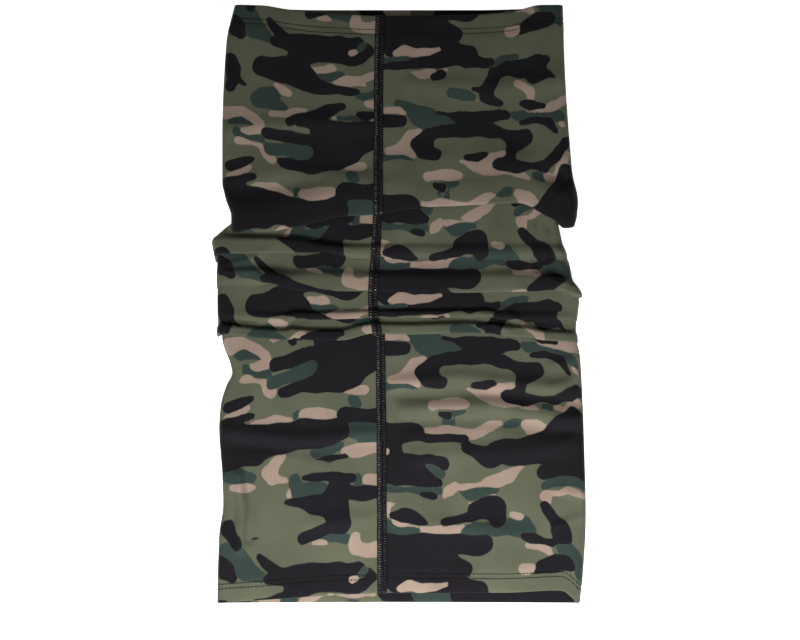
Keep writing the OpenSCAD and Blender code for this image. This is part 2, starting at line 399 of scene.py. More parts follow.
def hem_height(v):
    """The two rows of stitches press the hem in, and it puffs a little beside them."""
    from_end = np.minimum(v, CLOTH_L - v)
    dents = sum(-HEM_DENT * hump(from_end, row, HEM_DENT_WIDTH) for row in HEM_ROWS_V)
    waves = puckers(from_end - sum(HEM_ROWS_V) / 2, U, *HEM_PUCKERS)
    return dents + waves + HEM_PUFF * hump(from_end, HEM_PUFF_V, HEM_PUFF_WIDTH)


class Cloth:
    """The middle of the cloth as a grid of points, with v and the outward normals."""

    def __init__(self):
        self.v, y, out = tube_path()
        left = curve(self.v, LEFT_EDGE) + SIDE_R + CLOTH_T / 2
        right = curve(self.v, RIGHT_EDGE) - SIDE_R - CLOTH_T / 2
        seam = curve(self.v, SEAM_LINE)
        x = self.across(left, right, seam)
        sideways = np.cos(ANGLE) * np.where(PART == "side_left", -1, 1)
        x = x + sideways * (SIDE_R + out * SIDE_BULGE)
        from_end = np.minimum(self.v, CLOTH_L - self.v)
        lift = END_LIFT * (1 - fade(from_end / END_FADE))
        share = np.clip((x - left) / (right - left), 0, 1)
        sag = SAG * (1 - (2 * share - 1) ** 4) * UPPER ** 4
        z = CLOTH_T / 2 + SIDE_R + np.sin(ANGLE) * (SIDE_R + out) - sag + lift
        z = z + fold_height(x, y) * UPPER ** 2
        self.points = np.stack([x, y, z], -1)
        height = (seam_height(self.v) + hem_height(self.v))[..., None]
        self.points = self.points + height * normals(self.points)
        self.normals = normals(self.points)

    @staticmethod
    def across(left, right, seam):
        """x of every point, before the side folds are rounded."""
        ends = {"front_right": (seam + SEAM_SLIT, right), "side_right": (right, right),
                "back": (right, left), "side_left": (left, left), "front_left": (left, seam - SEAM_SLIT)}
        x = np.zeros_like(left)
        for part, (start, end) in ends.items():
            x = np.where(PART == part, start + SHARE * (end - start), x)
        return x

    def at(self, u, v, lift):
        """Points over the cloth at (u, v), lift above its middle. u may be negative, left of the seam."""
        column = np.interp(u % ROUND, U, np.arange(COLUMNS))
        first = np.minimum(column.astype(int), COLUMNS - 2)
        share = (column - first)[:, None]
        near, far = self.down(first, v, lift), self.down(first + 1, v, lift)
        return near + share * (far - near)

    def down(self, columns, v, lift):
        """Points down whole columns at the distances v."""
        rows = np.array([np.interp(at, self.v[:, c], np.arange(len(self.v))) for c, at in zip(columns, v)])
        first = np.minimum(rows.astype(int), len(self.v) - 2)
        share = (rows - first)[:, None]
        lift = np.asarray(lift)[..., None]
        near = self.points[first, columns] + lift * self.normals[first, columns]
        far = self.points[first + 1, columns] + lift * self.normals[first + 1, columns]
        return near + share * (far - near)


# ---- The print: a woodland camouflage of patches on olive, painted patch over patch ----
# A patch is its colour, then its discs u,v,radius, joined by straight sides. The left panel is counted
# from the seam leftwards, so its u is negative. Both panels repeat down the cloth.
REPEAT = 222.0
LEFT_PRINT = read_shapes("""
green -74,50,4.5 -83,54,5.5 -87,59,6 -76,60,5.5 -68,62,3
green -14,48,3 -10,50,3.5 -3,47,3
green -105,77,3.5 -94,76.5,3.5 -88,78,2.5
green -101,86,3.5 -92,90,3 -84,90,3
green -19,112,4 -17,116,4
green -18,136,7 -10,133,6 -12,141,6 -3,138,8
green -30,147,5 -38,151,5 -45,154,5 -36,157,3
green -61,171,4.5 -61,178,5 -50,178,5 -38,177,4
green -18,170,4 -17,174,3.5
green -106,162,6 -100,163,6 -93,165,4.5
green -39,211.5,3.4 -31,211.5,4 -25,212,3.8
green -106,214,6 -100,220,8 -92,228,6.5 -82,233,3.5
green -58,124,3.2 -57,128,3
tan -48,31,3.4 -43,29.5,4 -35,28.5,3.6
green -42,35,3.4 -34,34.5,4 -27,33,2.4
tan -32,39,1.8 -22,37.5,4.4 -12,37.5,4.4 -3,35,5.5 2,35,5.5
olive -2,38.5,2.2 -9,39,1.6
tan -74,45.5,2 -69,48,3.6 -65,50,2.2
tan -108,71,5.5 -98,69,4 -92,72.5,3.5 -85,78,3.2 -84,83,3 -92,85,3.2 -97,84,2
tan -76,69,3 -66,67,3 -58,62.5,2.8 -48,60,1
tan -8,55,3.2 -1,55.5,4.2
tan -31,67,2.2
tan -10,68.5,1.4 -2,68,1.8
tan -101,92.5,2.2 -92,94.5,2.1 -85,96,2.2 -80,101,3.2 -76,105,3.5
tan -25,107,1.4 -18,105.3,3.6 -12,105.5,3.3
tan -106,120,3.2 -99,117.6,2.8 -92,113.2,1.8
tan -92,127.5,2.2 -83,125.5,3.2 -75,124.5,3 -68,126.5,3 -63,127.5,2.4
tan -52,125.8,4.6 -43,124.6,5.2 -34,125.3,4.2
tan -68,151.5,2.2 -75,156.5,4 -78,162,5.6 -76,167,4.6 -68,169.5,2.2
tan -105,171.5,2.8 -95,171.5,2.8 -90,171.5,1.8
tan -25,152,3.8 -15,151,5 -5,149.5,4.2 2,149,3.8
olive -3,156.5,3.5 -10,158,2.2
tan -9,171.5,4.2 -2,171.5,4.2
tan -65.5,176,1.2 -65.5,182,1.2
tan -18,210.5,3.2 -18,218,4.2 -10,220,4.6 -1,219,4.6
olive -4,209,5.5 -10,210,4.2
tan -48,215.5,1.3 -42,214.6,1.9 -38,215,1.2
black -84,-2,2 -78,3,3 -71,8,4.5
black -77,12,3.8 -68,11,6 -50,13,8.8 -32,13.5,9 -20,10,6.2 -17,8,4.4
black -60,20,6.5 -35,17,6 -22,21,4.6 -13,19.5,5 -9,14.5,5.4
black -84,32.5,8.5 -72,32.5,9.6 -60,33,11.5 -52,36,8
black -52,40,7.5 -38,43.5,4.8 -25,45.5,3.4 -16,45.5,3.1
black -109,29,5 -105,37,5.6 -104,43,4.8 -107,50,3.6
black -103,43,3.5 -97,47.5,2
black -27,58,3.4 -36,61,5 -46,67,7.5 -58,70.5,4.8 -64,72.5,3.4
black -40,78,9.5 -25,80,10.5 -8,80,10.5 2,80,10.5
green -28,67.5,2.4 -18,67.5,2.6 -12,67,1.8
black -79,85,4.8 -66,84.5,5 -52,84,6 -44,86,5
black -35,94,14 -24,93,13 -13,87,9 -4,84,8
black -69,105,4.4 -58,103.5,6 -45,100,9.5 -30,100,8.5
green -77,96.5,5 -65,95,5.6 -52,93.5,5
olive -60,75,1.2 -56,76.5,2.4
black -13,64,3 3,65,3.3
black -91,107,2.4 -97,108.6,3.4 -106,112,4.6
black -89,119.5,2.4 -96,121.5,3.6 -105,128,8
black -106,141,18.5 -90,142,15.5 -75,139.5,12 -60,140,11 -45,140.5,11 -34,138,9.5 -31,137,9
black -24,124.5,6.2 -12,124.5,6 2,124.5,5.8
black -46,158,1.5 -35,156.5,1.9 -25,155,1.5
black -55,170,1.9 -42,169.5,3 -30,169.5,3.8 -21,170,3.8
black -30,176,8 -32,186,9.5 -31,196,8.4 -28,202,7.5
black -22,180,5.5 -8,180.2,5 3,180.2,5
black -68,184.3,1.4 -58,186,3.6 -46,188.5,7.4 -38,189,9
black -54,211.5,4.6 -46,209,4 -38,206,4.4 -29,203,6.5
black -89,209,1.1 -85,207.5,1.4
black -107,198,5 -103,206,4.8 -99,213,3
black -112,222,5 -106,227,6 -102,232,3.5
tan -20,16,2.2 -17,14.8,1.8
green -14,13,2.4 -12,10.5,2
""")
RIGHT_PRINT = read_shapes("""
green 55,57,3.6 63,57.5,4.6 71,60,3
green 15,64.5,3 22,67,5 30,74,7.8 38,75.5,7.5 47,78,5.5 58,80,2.2
green 33,83,4
green 2,105,2.6 14,105,2.4 26,105.5,1.8
green 46,125,3.2 56,124,2.4
green 46,127,4.5 46.5,131,4.8
green 85,133,2.6 92,131.5,3.2 96,130.5,2
green 112,121,2.6 118,122,2.6
green 100,75.5,3.2 108,79,5.4 118,81.5,4 133,83,5
green 86,35,3.2 95,34,4.4 103,32.5,3.2
green 125,2,3 133,4,5 137,12,3
green 112,177,3 120,174.5,4 128,171.5,4.5 138,166,6
green 4,177.5,2 20,178.5,2.6 32,180,4.4 38,180,3.8
green 54,177,2.4 61,181.5,5 69,182,4.8 77,179,3
green 3,205,6 14,206,5.5 24,207.5,4
green 44,205,3 58,206,5.6 70,206.5,5 85,205,6.5 98,205,7.5 107,207,5
green 124,219,4.5 133,222,5.5
tan 3,69.5,2.6 15,69.5,2.9 18.5,72,2
tan 29,87.5,4.2 24,89,5 21,94,5.2 15,99,5 7,100.5,3.2
tan 18,98,5 24,101,4.2 26.5,105,1.4
tan 60,108.5,1.6 68,111.5,4 76,112,6 85,107,4.2 91,105,2
tan 70,113,3.4 77,116.5,3.8 86,118.3,2.4 96,118.5,2.2 104,120.5,1.8 109,123,1.2
tan 36,119.4,3.9 46,118.6,3.9 58,118.7,3.2
tan 121,122,2 127,124,2.8 131,119,2.6 137,110,3
tan 32,137,2.9 45,137.5,3.1 56,139,3.4 63,140.5,3.7 70,138,4.2 76,134,3.8 83,131.3,2
tan 100,132.5,3.4 107,135,5.2 114,137.5,3.2
tan 104,137,4.5 103,141.5,2
tan 54,177.3,1.8 68,175,2.4 78,172.5,4.2 86,170,5 92,165.5,3 99,161.5,1.2
tan 50,175.5,2.8 46,180,4.2 43,183.5,2.4
tan 113,184.5,3.9 113,188,3.4
tan 112,183,2.6 122,182.2,2.4 130,179.6,2.4 138,175.2,2.6
tan 12,188.6,1.3 4.5,189,2.2 3.5,193,2.2 6,198,1.4
tan 8,200.8,1.2 14,203,2.1 22,203.3,2 27,202.5,1.2
tan 30,207.6,3.8 40,207,3.2 50,207,3.8
tan 52,206,2 57,202.6,1.4 62,201.2,1
tan 60,189,1.8 65,190.3,2.2 71,186,1.8 77,183,1.2
tan 89,195.8,2.5 95,197.6,2.1
tan 101,218,1.6 108,219.2,2.6 114,221,3.6 117,224.5,1.8
tan 24,40.5,1.2 31,42.3,3.2 36,41.5,4.2 42,38.8,2.4 50,38.5,2.4
tan 103.5,52,1.8 108.5,56,3 113.5,61.5,3 114,66,2.4
tan 111,75,1.2 121,78.2,2.2 128,76,3 138,71,4
tan 135,89,3
tan 74,61.5,1.8
black 2,77.5,5 17,77.3,5
black 41,102.3,4.9 33,101,6.2 31,95.5,6.8 38,89.5,6.4 48,86,5.6 62,85.5,5.4 77,86,6.8 92,91,5.6
  107,95.5,6.6 98,102,4.6 95,108,5.6 88,112.5,5.2
black 88,112.5,5.2 98,114.5,4.8 110,116.2,3 121,117.5,3 130,112,3.4 138,102,3.8
black 44,71,1 55,73.5,3.2 66,77,6.2 68,84,8
black 66,76,5 80,75.2,4.6 94.5,75.5,4
black 59,149.9,3.6 66,152,4.8 74.5,157,7.6 80,152,7.6 90,152,9.6 99,152,9.8 107,150.5,10.4 119,147,12.5
  130,139,14 138,133,15
black 137,152,13 126,160,9.5 116,166,6 111,168,4.6
black 128,136,9 136,124,7
olive 45,94.5,4.4 66,96.5,6 86,98.5,6.8
black 65,106.2,3 72,105.2,3.4 78.5,103.4,1.8
tan 84,107,4.2 91,105,2
black 88,112.5,5.2 90,113,5
black 2,138.3,7.6 16,138.5,7.4 23,138.8,6.6 29,142.2,3.2 45,142.8,2.9 57,143,2.7
black 2,150,12 3,161,13
black 12,161.5,8.4 28,160.8,6.9 40.5,160.5,6.2
black 12,167.5,8.6 26,169.5,7 34,172,4.6 39,174.3,2.6
black 27,182,1.6 36,183.2,2
black 8,196.3,3 14.5,196,5.6 22,199,4.6 31,202,2
black 42.5,201.2,2.2 52,200.3,2.9 62,197,4.8
black 64,193.5,6 72,192,8 78,191,8 79,198,6.9
black 0,216.8,7.4 40,216.8,7.4 70,217.5,7.4
black 0,8,16 25,6,14 39,8,12.5 58,13,5.9
black 10,22,8 30,20,9 50,19,7
black 46,27,10 60,27.5,8.5 69,26.5,6
black 66,33,5 80,34,4.2 84.5,33.5,3.8
black 0,35.5,3 12,34.5,3.6 25,32.5,5.6 42,32,6
black 88,43,5.2 98,40,5.6 108,42,7.6 118,43,8.6 126,39,3.4
black 117,50.5,6.8 127,51,3 131.5,53,1.4
black 87,47,5 81.5,55,5.6 80,59.5,5.6 84,63.5,3.6 91,66.2,2.2
black 81,56,4 71,54,1.6
black 107,68.6,2.2 113.5,72,3.6 121.5,74.5,2.4
black 105,14.8,2.8 112,12.5,5.2 122,9.5,6.2 130,8.5,5
black 105,83,1.6 116,83.2,2.8 126,87,3.4 130.5,94,2.8
black 41.5,44.2,3 47,42.6,3.6
black 41,125.2,2.6 46,126.6,3.2
black 98,211.5,2.4 104,213.2,4 111,216,3 118,217.5,3
black 112,192,3.8 115.5,200,4.2 121,206,6.4 124.5,212,7
olive 104,192,4 107,200,5.2 111.5,208,4.8 113.5,211.5,3
tan 12,26.3,2.4 19.5,24.3,4.4 28,25.8,3.4 38,24.8,2.9 45,23.2,2.1
green 2,31,2.6 12,30.5,2 22,29.5,1.2
tan 99,12.2,4.2 103,12.8,4
green 30.5,161.5,1.4 36,164.5,2.6 41,167.8,2.6
tan 3,151.5,2.6
""")
# How far each panel's print is shifted down the cloth: (v, shift).
LEFT_SHIFT = [
    (0, 11), (16, 11), (125, 0), (290, 0), (310, 2), (335, 2.5), (365, -1), (400, 0), (435, -0.5),
    (450, 2), (473, 3.5)]
RIGHT_SHIFT = [
    (0, 1.5), (25, 0.5), (60, -2.5), (113, -6), (125, -4.5), (135, -4.5), (165, 0), (280, 0), (302, 1.5),
    (335, 0), (473, 0)]
HANG = 8.0                 # how much lower the right panel's print hangs at the uppermost tuck
HANG_U, HANG_WIDTH = 92.0, 28.0    # from which u on it does, and over what width that grows
HANG_V, HANG_REACH = 140.0, 22.0   # round which v, and how far from there it fades
BACK_SHIFT = 120.0         # how far the back's print is shifted down from the front's
TURNS = (-1, 0, 1, 2)      # the repeats of the print that the cloth shows
INKS = ("green", "tan", "black")
REACH = 9.0                # distances to a patch are kept up to this
MELT = 1.3                 # how softly patches of one colour run together
WAVE, BROAD_WAVE = 0.35, 0.85      # how far a patch's outline waves, in small and in broad waves


def outline_wave(u, v):
    """Uneven waves that turn the patches' straight sides into drawn outlines."""
    small = np.sin(u / 3.4 + 1.7 * np.sin(v / 6.3)) * np.sin(v / 2.7 + 1.1 * np.sin(u / 7.9))
    broad = np.sin(u / 3.9 + 1.4 * np.sin(v / 8.1)) * np.cos(v / 5.2 + 1.2 * np.sin(u / 9.4))
    return WAVE * small + BROAD_WAVE * broad


def paint(inks, u, v, patches):
    """Paints the patches in their order. inks holds each ink's signed distance, below 0 inside it."""
    wave = outline_wave(u, v)
    for colour, *points in patches:
        low_u, low_v = (min(p[i] - p[2] for p in points) - REACH for i in (0, 1))
        high_u, high_v = (max(p[i] + p[2] for p in points) + REACH for i in (0, 1))
        near = (u > low_u) & (u < high_u) & (v > low_v) & (v < high_v)
        if not near.any():
            continue
        distance = np.clip(chain(u[near], v[near], points) + wave[near], -REACH, REACH)
        for ink in INKS:
            old = inks[ink][near]
            if ink == colour:
                overlap = np.maximum(MELT - np.abs(old - distance), 0) / MELT
                inks[ink][near] = np.minimum(old, distance) - overlap ** 2 * MELT / 4
            else:
                inks[ink][near] = np.maximum(old, -distance)


def bare(shape):
    """Cloth with no ink on it."""
    return {ink: np.full(shape, REACH) for ink in INKS}


def print_inks(u, v):
    """Signed distance to each ink's edge on the whole cloth. The back carries the same two panels."""
    inks = bare(u.shape)
    for turn in TURNS:
        for patches in (RIGHT_PRINT, LEFT_PRINT):
            paint(inks, u - ROUND / 2, v - BACK_SHIFT - turn * REPEAT, patches)
    hang = HANG * fade((u - HANG_U) / HANG_WIDTH) * hump(v, HANG_V, HANG_REACH)
    right = u < RIGHT_X - SEAM_X + pi * SIDE_R
    left = u > ROUND - (SEAM_X - LEFT_X) - pi * SIDE_R
    for panel, across, along, patches in (
            (right, u, v - curve(v, RIGHT_SHIFT) - hang, RIGHT_PRINT),
            (left, u - ROUND, v - curve(v, LEFT_SHIFT), LEFT_PRINT)):
        front = bare(int(panel.sum()))
        for turn in TURNS:
            paint(front, across[panel], along[panel] - turn * REPEAT, patches)
        for ink in INKS:
            inks[ink][panel] = front[ink]
    return inks


# ---- Meshes ----

def new_object(name, mesh):
    thing = bpy.data.objects.new(name, mesh)
    bpy.context.scene.collection.objects.link(thing)
    return thing


def new_mesh(name, points, faces):
    mesh = bpy.data.meshes.new(name)
    mesh.from_pydata((points * MM).tolist(), [], faces)
    mesh.update()
    return mesh


def store(mesh, name, values):
    """Keeps a number or a vector for every vertex, for the material to read."""
    kind, key = ("FLOAT", "value") if values.ndim == 1 else ("FLOAT_VECTOR", "vector")
    layer = mesh.attributes.new(name, kind, "POINT")
    layer.data.foreach_set(key, values.astype(np.float32).ravel())


def quads(rows, columns, start=0):
    """The faces of a grid of points, as an array of four corners each."""
    corner = start + np.arange(rows * columns).reshape(rows, columns)
    faces = [corner[:-1, :-1], corner[1:, :-1], corner[1:, 1:], corner[:-1, 1:]]
    return np.stack(faces, -1).reshape(-1, 4)


def cloth_faces(rows, columns):
    """Faces of the outer side, of the inner side, which has every second row, and of the cut edges."""
    inner_rows = (rows + 1) // 2
    outer = np.arange(rows * columns).reshape(rows, columns)
    inner = rows * columns + np.arange(inner_rows * columns).reshape(inner_rows, columns)
    top, top_in, bottom, bottom_in = (grid[end].tolist() for end in (0, -1) for grid in (outer, inner))
    right, right_in, left, left_in = (grid[:, end].tolist() for end in (0, -1) for grid in (outer, inner))
    edges = []
    for j in range(columns - 1):
        edges.append([top[j], top[j + 1], top_in[j + 1], top_in[j]])
        edges.append([bottom[j + 1], bottom[j], bottom_in[j], bottom_in[j + 1]])
    for k in range(inner_rows - 1):
        i = 2 * k
        edges.append([right[i + 2], right[i + 1], right[i], right_in[k], right_in[k + 1]])
        edges.append([left[i], left[i + 1], left[i + 2], left_in[k + 1], left_in[k]])
    inner_faces = quads(inner_rows, columns, rows * columns)[:, ::-1]
    return quads(rows, columns).tolist(), inner_faces.tolist(), edges


def cloth_piece(cloth, printed, back):
    """The whole sheet: a tube with its turned-in hems, open along the seam."""
    half = CLOTH_T / 2
    outer = cloth.points + half * cloth.normals
    inner = (cloth.points - half * cloth.normals)[::2]
    rows, columns = cloth.v.shape
    outer_faces, inner_faces, edge_faces = cloth_faces(rows, columns)
    points = np.concatenate([outer.reshape(-1, 3), inner.reshape(-1, 3)])
    mesh = new_mesh("jersey_tube", points, outer_faces + inner_faces + edge_faces)
    u = np.broadcast_to(U, cloth.v.shape)
    inks = print_inks(u, cloth.v)
    for ink in INKS:
        store(mesh, ink, np.concatenate([inks[ink].ravel(), inks[ink][::2].ravel()]))
    place = np.stack([u, cloth.v, np.zeros_like(u)], -1)
    store(mesh, "place", np.concatenate([place.reshape(-1, 3), place[::2].reshape(-1, 3)]))
    mesh.materials.append(printed)
    mesh.materials.append(back)
    other = len(inner_faces) + len(edge_faces)
    mesh.polygons.foreach_set("material_index", [0] * len(outer_faces) + [1] * other)
    smooth = [True] * (len(outer_faces) + len(inner_faces)) + [False] * len(edge_faces)
    mesh.polygons.foreach_set("use_smooth", smooth)
    return new_object("jersey_tube", mesh)


def tube_points(strands, radius, sides):
    """Rings of points round strands, which are an array of (strand, point, xyz)."""
    along = np.gradient(strands, axis=1)
    along /= np.linalg.norm(along, axis=-1, keepdims=True)
    up = np.zeros_like(along) + (0, 0, 1.0)
    up[np.abs(along[..., 2]) > 0.9] = (1.0, 0, 0)
    side = np.cross(along, up)
    side /= np.linalg.norm(side, axis=-1, keepdims=True)
    top = np.cross(side, along)
    angle = np.linspace(0, 2 * pi, sides, endpoint=False)[:, None]
    ring = np.cos(angle) * side[..., None, :] + np.sin(angle) * top[..., None, :]
    return strands[..., None, :] + radius * ring


def thread_piece(name, strands, radius, material, sides=6):
    """A sewing thread: one tube for each strand, closed at both ends. name is its CAD node's."""
    strands = np.asarray(strands, float)
    count, length = strands.shape[:2]
    points = tube_points(strands, radius, sides)
    ring = np.arange(sides)
    after = np.roll(ring, -1)
    band = np.stack([ring, after, sides + after, sides + ring], -1)
    tube = np.concatenate([band + k * sides for k in range(length - 1)])
    caps = np.array([ring[::-1], (length - 1) * sides + ring])
    faces = []
    for first in length * sides * np.arange(count):
        faces += (tube + first).tolist() + (caps + first).tolist()
    mesh = new_mesh(name, points.reshape(-1, 3), faces)
    mesh.materials.append(material)
    mesh.polygons.foreach_set("use_smooth", [True] * len(faces))
    sewn = new_object(name.replace("thread", "stitches"), mesh)
    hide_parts(name)
    return sewn


# ---- Threads ----
THREAD_R = 0.2
HEM_THREAD_R = 0.26
COVER_R = 0.17
SEAM_STITCH = 1.7          # length of one stitch of the seam
SEAM_DASH = 1.53           # how much of it shows
SEAM_MARGIN = 1.0          # from the tube's ends to the seam's first and last stitch
SEAM_LOOPER_MARGIN = HEM + 2   # the same for its looper thread, which stops at the hems
HEM_STITCH = 2.5           # length of one stitch of a hem, with its gap
HEM_DASH = 1.6             # how much of it shows
HEM_MARGIN = 0.8           # from the seam's line to a hem's first and last stitch
HEM_LOOPER_MARGIN = 5.0    # the same for its looper thread
NEEDLE_X = 2.8             # from the seam's middle to an outer needle row
OVER = CLOTH_T / 2         # from the middle of the cloth to its face
COVER_LIE = 0.7            # share of its radius by which the cover thread lies over the face
# A straight stitch: (share of its length, height over the cloth).
DASH = [(0.0, -0.1), (0.06, 0.12), (0.3, 0.3), (0.7, 0.3), (0.94, 0.12), (1.0, -0.1)]
# One stitch of the cover thread, over to the right and back: (across, along, height over the cloth).
COVER_STITCH = [
    (-1, 0.0, 0.0), (-0.5, 0.16, 0.14), (0, 0.3, 0.06), (0.5, 0.44, 0.14), (1, 0.56, 0.0),
    (1, 0.88, 0.0), (0.5, 0.77, 0.14), (0, 0.63, 0.06), (-0.5, 0.5, 0.14), (-1, 0.4, 0.0)]


def stitch_starts(total, margin, length):
    """Where the stitches start on a row of this total length."""
    return np.arange(margin, total - margin - length, length)


def zigzag(starts, length, low, high):
    """Four points to a stitch: their distances along the row and across it."""
    along = (starts[:, None] + np.arange(4) / 4 * length).ravel()
    middle = (low + high) / 2
    return along, np.tile([low, middle, high, middle], len(starts))


def long_thread(name, points, material):
    """A piece that is one thin thread from end to end."""
    return thread_piece(name, points[None], COVER_R, material, sides=5)


def seam_cover(cloth, material):
    """The thread that ladders over the seam's outer face."""
    starts = stitch_starts(CLOTH_L, SEAM_MARGIN, SEAM_STITCH)
    across, along, height = np.array(COVER_STITCH).T
    u = np.tile(across * NEEDLE_X, len(starts))
    v = (starts[:, None] + along).ravel()
    lift = np.tile(OVER + COVER_R * COVER_LIE + height, len(starts))
    return long_thread("seam_cover_thread", cloth.at(u, v, lift), material)


def seam_looper(cloth, material):
    """The thread that zigzags under the seam, inside the tube."""
    starts = stitch_starts(CLOTH_L, SEAM_LOOPER_MARGIN, SEAM_STITCH)
    v, u = zigzag(starts, SEAM_STITCH, -NEEDLE_X, NEEDLE_X)
    lift = np.full(len(u), -OVER - COVER_R)
    return long_thread("seam_looper_thread", cloth.at(u, v, lift), material)


def dashes(starts, length, lift=0.0):
    """The points of a row of straight stitches: distances along it and heights over the cloth's middle."""
    along, height = np.array(DASH).T
    return (starts[:, None] + along * length).ravel(), np.tile(height + OVER + lift, len(starts))


def seam_needle(cloth, name, across, material):
    """A row of straight stitches along the seam, over the cover thread."""
    v, lift = dashes(stitch_starts(CLOTH_L, SEAM_MARGIN, SEAM_STITCH), SEAM_DASH, COVER_R)
    points = cloth.at(np.full(len(v), across), v, lift)
    return thread_piece(name, points.reshape(-1, len(DASH), 3), THREAD_R, material)


def hem_needle(cloth, name, v, material):
    """A row of straight stitches once round the tube."""
    u, lift = dashes(stitch_starts(ROUND, HEM_MARGIN, HEM_STITCH), HEM_DASH)
    points = cloth.at(u, np.full(len(u), v), lift)
    return thread_piece(name, points.reshape(-1, len(DASH), 3), HEM_THREAD_R, material)


def hem_looper(cloth, name, rows, material):
    """The thread that zigzags between the two rows on the turned-in layer's inside."""
    u, v = zigzag(stitch_starts(ROUND, HEM_LOOPER_MARGIN, HEM_STITCH), HEM_STITCH, *rows)
    lift = np.full(len(u), -OVER - HEM_GAP - COVER_R)
    return long_thread(name, cloth.at(u, v, lift), material)


def all_threads(cloth, material):
    """Every thread piece, each of which stands for a CAD node."""
    made = [seam_cover(cloth, material), seam_looper(cloth, material)]
    for side, across in (("left", -NEEDLE_X), ("centre", 0), ("right", NEEDLE_X)):
        made.append(seam_needle(cloth, "seam_needle_thread_" + side, across, material))
    for hem, rows in (("top_hem", HEM_ROWS_V), ("bottom_hem", [CLOTH_L - v for v in HEM_ROWS_V])):
        for row, v in zip(("_outer", "_inner"), rows):
            made.append(hem_needle(cloth, hem + "_needle_thread" + row, v, material))
        made.append(hem_looper(cloth, hem + "_looper_thread", rows, material))
    return made


# ---- Materials ----

class Graph:
    """A material's nodes, with one short call for each kind of node."""

    def __init__(self, name):
        self.material = bpy.data.materials.new(name)
        self.material.use_nodes = True
        self.tree = self.material.node_tree
        self.shader = self.tree.nodes["Principled BSDF"]

    def put(self, socket, value):
        if isinstance(value, bpy.types.NodeSocket):
            self.tree.links.new(value, socket)
        else:
            socket.default_value = value

    def node(self, kind, inputs, output=0, **settings):
        made = self.tree.nodes.new("ShaderNode" + kind)
        for key, value in settings.items():
            setattr(made, key, value)
        for key, value in inputs.items():
            self.put(made.inputs[key], value)
        return made.outputs[output]

    def attribute(self, name, output="Fac"):
        return self.node("Attribute", {}, output, attribute_name=name)

    def math(self, operation, a, b=0.0):
        return self.node("Math", {0: a, 1: b}, operation=operation)

    def times(self, first, *others):
        for other in others:
            first = self.math("MULTIPLY", first, other)
        return first

    def ramp(self, value, low, high, to_low=0.0, to_high=1.0):
        """value from low to high becomes to_low to to_high, smoothly."""
        inputs = {"Value": value, "From Min": low, "From Max": high, "To Min": to_low, "To Max": to_high}
        return self.node("MapRange", inputs, interpolation_type="SMOOTHSTEP")

    def mix(self, share, a, b, kind="MIX"):
        return self.node("Mix", {0: share, 6: a, 7: b}, output=2, data_type="RGBA", blend_type=kind)

    def noise(self, place, scale, detail=2.0):
        return self.node("TexNoise", {"Vector": place, "Scale": scale, "Detail": detail})

    def cloth_place(self):
        """u and v, and both as one vector."""
        place = self.attribute("place", "Vector")
        parts = self.tree.nodes.new("ShaderNodeSeparateXYZ")
        self.put(parts.inputs[0], place)
        return parts.outputs[0], parts.outputs[1], place

    def shaded(self, colour, shade):
        """The colour, times a grey."""
        grey = self.node("CombineColor", {0: shade, 1: shade, 2: shade})
        return self.mix(1.0, colour, grey, "MULTIPLY")

    def bump(self, height, distance):
        inputs = {"Height": height, "Distance": distance * MM}
        self.put(self.shader.inputs["Normal"], self.node("Bump", inputs))

    def finish(self, colour, **constants):
        self.put(self.shader.inputs["Base Color"], colour)
        for key, value in constants.items():
            self.shader.inputs[key.replace("_", " ")].default_value = value
        return self.material


OLIVE = (0.078, 0.084, 0.054, 1)
INK_COLOURS = {"green": (0.022, 0.036, 0.031, 1), "tan": (0.25, 0.187, 0.147, 1),
               "black": (0.0062, 0.0056, 0.0075, 1)}
SEAM_CORE = (0.36, 0.37, 0.34, 1)  # the cloth's cut edges under the seam
BACK_PALE = (0.40, 0.39, 0.36, 1)
THREAD_DARK, THREAD_LIGHT = (0.002, 0.002, 0.0025, 1), (0.008, 0.008, 0.01, 1)
FLOOR_DARK, FLOOR_LIGHT = (0.88, 0.88, 0.88, 1), (0.9, 0.9, 0.9, 1)
WHITE = (1, 1, 1, 1)
FLOOR_PAINTED_GLOW = 0.9           # painted glow: the floor gives off light though it is no lamp, so that it stays white and hides the gaiter's shadow on it
PRINT_BLUR, BACK_BLUR = 0.35, 1.2   # half the blur of the print's outlines, outside and inside
INK_BLEED, BLEED_SCALE = 0.7, 0.9  # how unevenly the ink runs at an outline
SHOW_THROUGH = 0.25        # how much of the print shows inside
WALE, COURSE = 0.62, 0.5   # width of a knit rib and height of a stitch, in millimetres
STITCH_SLANT = 2.2         # how far a stitch runs down beside its rib, in radians
STITCH_DEPTH = 0.3         # share of a rib's height that its stitches take
KNIT_BUMP, FIBRE_BUMP = 0.06, 0.05         # heights of the relief, in millimetres
KNIT_SHADE, BACK_KNIT_SHADE = (0.82, 1.08), (0.85, 1.05)     # painted shade of the knit: the tone between the ribs, and on them
FIBRE_SCALE, GRAIN_SCALE = 6000, 40
# Tones: the noise's scale, its low and high value, and the darkest and lightest tone.
BROAD_TONE = (0.03, 0.3, 0.7, 0.92, 1.08)
FINE_TONE = (1.7, 0.25, 0.75, 0.9, 1.12)
TICK_TONE = (0.6, 0.4, 0.6, 0.2, 1.0)
SEAM_SHADE = 0.95          # how much darker the cloth is between the seam's stitches: painted shade of the stitches, and their dark thread
SEAM_BAND = 2.9            # half the width of that dark band
BAND_FADE = 0.4            # width over which it fades, and the pale core in it
TICK_IN, TICK_OUT = 0.5, 2.5       # the core shows between these distances from the seam
TICK_TOP, TICK_BOTTOM = 1.0, 3.0   # how near the upper and the lower fold it shows
RIGHT_TICK, LEFT_TICK = 1.0, 0.8   # how much of it shows on each side of the seam's middle
TICK_TURN = 5.5            # where in a stitch it shows, in radians
TICK_LOW, TICK_HIGH = -0.1, 0.4    # cosines between which it fades in


